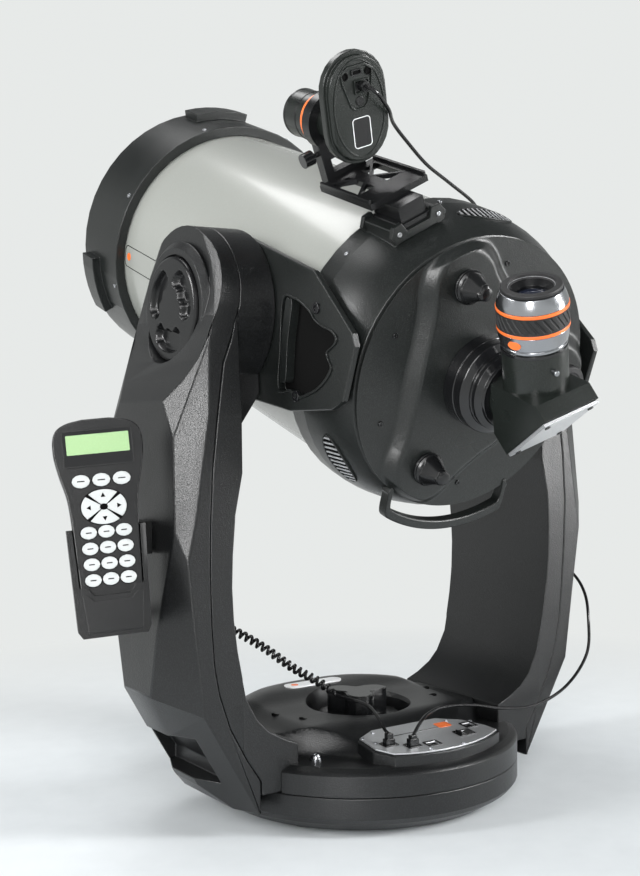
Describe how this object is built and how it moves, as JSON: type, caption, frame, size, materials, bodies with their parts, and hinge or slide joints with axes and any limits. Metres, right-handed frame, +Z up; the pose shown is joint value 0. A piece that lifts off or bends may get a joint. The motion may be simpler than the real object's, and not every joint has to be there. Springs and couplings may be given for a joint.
{
  "type": "schmidt cassegrain telescope",
  "caption": "Schmidt-Cassegrain telescope on a motorised dual-arm fork mount, with a mirror diagonal, eyepiece, finder camera and hand controller.",
  "frame": {"origin": "centre of the base's underside on the floor, on the azimuth axis", "axes": "+Z up the azimuth axis; +X along the altitude axis, away from the arm with the hand controller; +Y to the front, the way the tube points; -Y to the eyepiece and the control panel"},
  "size_m": [0.62, 0.725, 0.7678],
  "materials": {
    "mount_paint": "fine-textured semi-gloss charcoal-black paint on castings",
    "cell_paint": "satin dark grey-green powder coat",
    "tube_paint": "gloss pale grey-white paint",
    "black_plastic": "satin black moulded plastic",
    "soft_rubber": "matte soft rubber",
    "key_rubber": "matte translucent white rubber",
    "anodised": "black anodised, semi-gloss",
    "silver_plate": "brushed silver plate",
    "chrome_trim": "polished",
    "steel": "turned steel",
    "optical_glass": "coated clear glass",
    "mirror_coating": "aluminised mirror with a clear coat",
    "cord_jacket": "satin black cable jacket"
  },
  "bodies": {
    "base": {"base_lower_housing": "mount_paint", "azimuth_gear": "steel"},
    "fork": {"base_upper_housing": "mount_paint", "control_panel_plate": "silver_plate", "bubble_level": "chrome_trim", "azimuth_motor": "steel", "fork_arm_left_inner": "mount_paint", "fork_arm_left_cover": "mount_paint", "fork_arm_right_inner": "mount_paint", "fork_arm_right_cover": "mount_paint", "handset_cradle": "black_plastic", "handset_cord_coil": "cord_jacket", "handset_cord_lead": "cord_jacket", "camera_cable_lower": "cord_jacket"},
    "azimuth_clutch": {"azimuth_clutch_knob": "black_plastic"},
    "power_rocker": {"power_switch": "black_plastic"},
    "altitude_clutch": {"altitude_clutch_knob": "black_plastic"},
    "optical_tube": {"side_plate_left": "cell_paint", "side_plate_right": "cell_paint", "ota_tube": "tube_paint", "front_ring": "cell_paint", "corrector_plate": "optical_glass", "secondary_mirror": "black_plastic", "mirror_baffle": "anodised", "rear_cell": "cell_paint", "rear_handle": "cell_paint", "visual_back": "anodised", "finder_bracket": "black_plastic", "finder_camera": "black_plastic", "camera_plug": "black_plastic", "camera_cable_upper": "cord_jacket"},
    "mirror": {"primary_mirror": "mirror_coating"},
    "focuser": {"focus_knob": "soft_rubber"},
    "lock_a": {"mirror_lock_knob_a": "black_plastic"},
    "lock_b": {"mirror_lock_knob_b": "black_plastic"},
    "diagonal": {"diagonal_body": "anodised", "diagonal_plate": "silver_plate"},
    "eyepiece": {"eyepiece_body": "chrome_trim"},
    "eyecup_ring": {"eyecup": "soft_rubber"},
    "finder_screw": {"finder_clamp_screw": "steel"},
    "handset": {"hand_controller": "black_plastic"},
    "key_top_1": {"key_top_1": "key_rubber"},
    "key_top_2": {"key_top_2": "key_rubber"},
    "key_top_3": {"key_top_3": "key_rubber"},
    "key_pad_right": {"key_pad_right": "key_rubber"},
    "key_pad_up": {"key_pad_up": "key_rubber"},
    "key_pad_left": {"key_pad_left": "key_rubber"},
    "key_pad_down": {"key_pad_down": "key_rubber"},
    "key_row1_1": {"key_row1_1": "key_rubber"},
    "key_row1_2": {"key_row1_2": "key_rubber"},
    "key_row1_3": {"key_row1_3": "key_rubber"},
    "key_row2_1": {"key_row2_1": "key_rubber"},
    "key_row2_2": {"key_row2_2": "key_rubber"},
    "key_row2_3": {"key_row2_3": "key_rubber"},
    "key_row3_1": {"key_row3_1": "key_rubber"},
    "key_row3_2": {"key_row3_2": "key_rubber"},
    "key_row3_3": {"key_row3_3": "key_rubber"},
    "key_row4_1": {"key_row4_1": "key_rubber"},
    "key_row4_2": {"key_row4_2": "key_rubber"},
    "key_row4_3": {"key_row4_3": "key_rubber"}
  },
  "joints": [
    {"name": "azimuth_turn", "type": "hinge", "parent": "base", "child": "fork", "pos_m": [0, 0, 0], "axis": [0, 0, 1], "continuous": true},
    {"name": "altitude_tilt", "type": "hinge", "parent": "fork", "child": "optical_tube", "pos_m": [0, 0, 0.5], "axis": [1, 0, 0], "range_deg": [-30, 70]},
    {"name": "azimuth_clutch_turn", "type": "hinge", "parent": "fork", "child": "azimuth_clutch", "pos_m": [0, 0, 0.1], "axis": [0, 0, 1], "range_deg": [0, 120]},
    {"name": "power_rocker_tip", "type": "hinge", "parent": "fork", "child": "power_rocker", "pos_m": [0.038, -0.128, 0.0765], "axis": [0, -1, 0], "range_deg": [0, 12]},
    {"name": "altitude_clutch_turn", "type": "hinge", "parent": "fork", "child": "altitude_clutch", "pos_m": [-0.213, 0, 0.5], "axis": [1, 0, 0], "range_deg": [0, 180]},
    {"name": "focus_turn", "type": "hinge", "parent": "optical_tube", "child": "focuser", "pos_m": [0.096, -0.19984, 0.42923], "axis": [0, 0.9426, 0.3338], "range_deg": [-2881, 4321]},
    {"name": "mirror_travel", "type": "slide", "parent": "optical_tube", "child": "mirror", "axis": [0, 0.9426, 0.3338], "range_m": [-0.006, 0.009]},
    {"name": "lock_a_turn", "type": "hinge", "parent": "optical_tube", "child": "lock_a", "pos_m": [-0.04057, -0.22888, 0.51125], "axis": [0, 0.9426, 0.3338], "range_deg": [0, 360]},
    {"name": "lock_b_turn", "type": "hinge", "parent": "optical_tube", "child": "lock_b", "pos_m": [-0.04208, -0.17104, 0.3479], "axis": [0, 0.9426, 0.3338], "range_deg": [0, 360]},
    {"name": "diagonal_turn", "type": "hinge", "parent": "optical_tube", "child": "diagonal", "pos_m": [0, -0.23566, 0.41655], "axis": [0, 0.9426, 0.3338], "range_deg": [-90, 90]},
    {"name": "eyepiece_slide", "type": "slide", "parent": "diagonal", "child": "eyepiece", "axis": [-0.3535, -0.3123, 0.8818], "range_m": [0, 0.03]},
    {"name": "eyecup_slide", "type": "slide", "parent": "eyepiece", "child": "eyecup_ring", "axis": [-0.3535, -0.3123, 0.8818], "range_m": [0, 0.006]},
    {"name": "finder_screw_turn", "type": "hinge", "parent": "optical_tube", "child": "finder_screw", "pos_m": [-0.128, -0.1068, 0.6337], "axis": [0.866, -0.1669, 0.4713], "range_deg": [0, 720]},
    {"name": "handset_slide", "type": "slide", "parent": "fork", "child": "handset", "axis": [-0.0338, 0.126, 0.9915], "range_m": [0, 0.1]},
    {"name": "key_top_1_press", "type": "slide", "parent": "handset", "child": "key_top_1", "axis": [0.3725, 0.9221, -0.1045], "range_m": [0, 0.0015], "stiffness_N_per_m": 400, "springref_m": -0.0005},
    {"name": "key_top_2_press", "type": "slide", "parent": "handset", "child": "key_top_2", "axis": [0.3725, 0.9221, -0.1045], "range_m": [0, 0.0015], "stiffness_N_per_m": 400, "springref_m": -0.0005},
    {"name": "key_top_3_press", "type": "slide", "parent": "handset", "child": "key_top_3", "axis": [0.3725, 0.9221, -0.1045], "range_m": [0, 0.0015], "stiffness_N_per_m": 400, "springref_m": -0.0005},
    {"name": "key_pad_right_press", "type": "slide", "parent": "handset", "child": "key_pad_right", "axis": [0.3725, 0.9221, -0.1045], "range_m": [0, 0.0015], "stiffness_N_per_m": 400, "springref_m": -0.0005},
    {"name": "key_pad_up_press", "type": "slide", "parent": "handset", "child": "key_pad_up", "axis": [0.3725, 0.9221, -0.1045], "range_m": [0, 0.0015], "stiffness_N_per_m": 400, "springref_m": -0.0005},
    {"name": "key_pad_left_press", "type": "slide", "parent": "handset", "child": "key_pad_left", "axis": [0.3725, 0.9221, -0.1045], "range_m": [0, 0.0015], "stiffness_N_per_m": 400, "springref_m": -0.0005},
    {"name": "key_pad_down_press", "type": "slide", "parent": "handset", "child": "key_pad_down", "axis": [0.3725, 0.9221, -0.1045], "range_m": [0, 0.0015], "stiffness_N_per_m": 400, "springref_m": -0.0005},
    {"name": "key_row1_1_press", "type": "slide", "parent": "handset", "child": "key_row1_1", "axis": [0.3725, 0.9221, -0.1045], "range_m": [0, 0.0015], "stiffness_N_per_m": 400, "springref_m": -0.0005},
    {"name": "key_row1_2_press", "type": "slide", "parent": "handset", "child": "key_row1_2", "axis": [0.3725, 0.9221, -0.1045], "range_m": [0, 0.0015], "stiffness_N_per_m": 400, "springref_m": -0.0005},
    {"name": "key_row1_3_press", "type": "slide", "parent": "handset", "child": "key_row1_3", "axis": [0.3725, 0.9221, -0.1045], "range_m": [0, 0.0015], "stiffness_N_per_m": 400, "springref_m": -0.0005},
    {"name": "key_row2_1_press", "type": "slide", "parent": "handset", "child": "key_row2_1", "axis": [0.3725, 0.9221, -0.1045], "range_m": [0, 0.0015], "stiffness_N_per_m": 400, "springref_m": -0.0005},
    {"name": "key_row2_2_press", "type": "slide", "parent": "handset", "child": "key_row2_2", "axis": [0.3725, 0.9221, -0.1045], "range_m": [0, 0.0015], "stiffness_N_per_m": 400, "springref_m": -0.0005},
    {"name": "key_row2_3_press", "type": "slide", "parent": "handset", "child": "key_row2_3", "axis": [0.3725, 0.9221, -0.1045], "range_m": [0, 0.0015], "stiffness_N_per_m": 400, "springref_m": -0.0005},
    {"name": "key_row3_1_press", "type": "slide", "parent": "handset", "child": "key_row3_1", "axis": [0.3725, 0.9221, -0.1045], "range_m": [0, 0.0015], "stiffness_N_per_m": 400, "springref_m": -0.0005},
    {"name": "key_row3_2_press", "type": "slide", "parent": "handset", "child": "key_row3_2", "axis": [0.3725, 0.9221, -0.1045], "range_m": [0, 0.0015], "stiffness_N_per_m": 400, "springref_m": -0.0005},
    {"name": "key_row3_3_press", "type": "slide", "parent": "handset", "child": "key_row3_3", "axis": [0.3725, 0.9221, -0.1045], "range_m": [0, 0.0015], "stiffness_N_per_m": 400, "springref_m": -0.0005},
    {"name": "key_row4_1_press", "type": "slide", "parent": "handset", "child": "key_row4_1", "axis": [0.3725, 0.9221, -0.1045], "range_m": [0, 0.0015], "stiffness_N_per_m": 400, "springref_m": -0.0005},
    {"name": "key_row4_2_press", "type": "slide", "parent": "handset", "child": "key_row4_2", "axis": [0.3725, 0.9221, -0.1045], "range_m": [0, 0.0015], "stiffness_N_per_m": 400, "springref_m": -0.0005},
    {"name": "key_row4_3_press", "type": "slide", "parent": "handset", "child": "key_row4_3", "axis": [0.3725, 0.9221, -0.1045], "range_m": [0, 0.0015], "stiffness_N_per_m": 400, "springref_m": -0.0005}
  ],
  "couplings": [
    {"joint": "focus_turn", "follows": "mirror_travel", "rad_per_m": 8377.6}
  ]
}
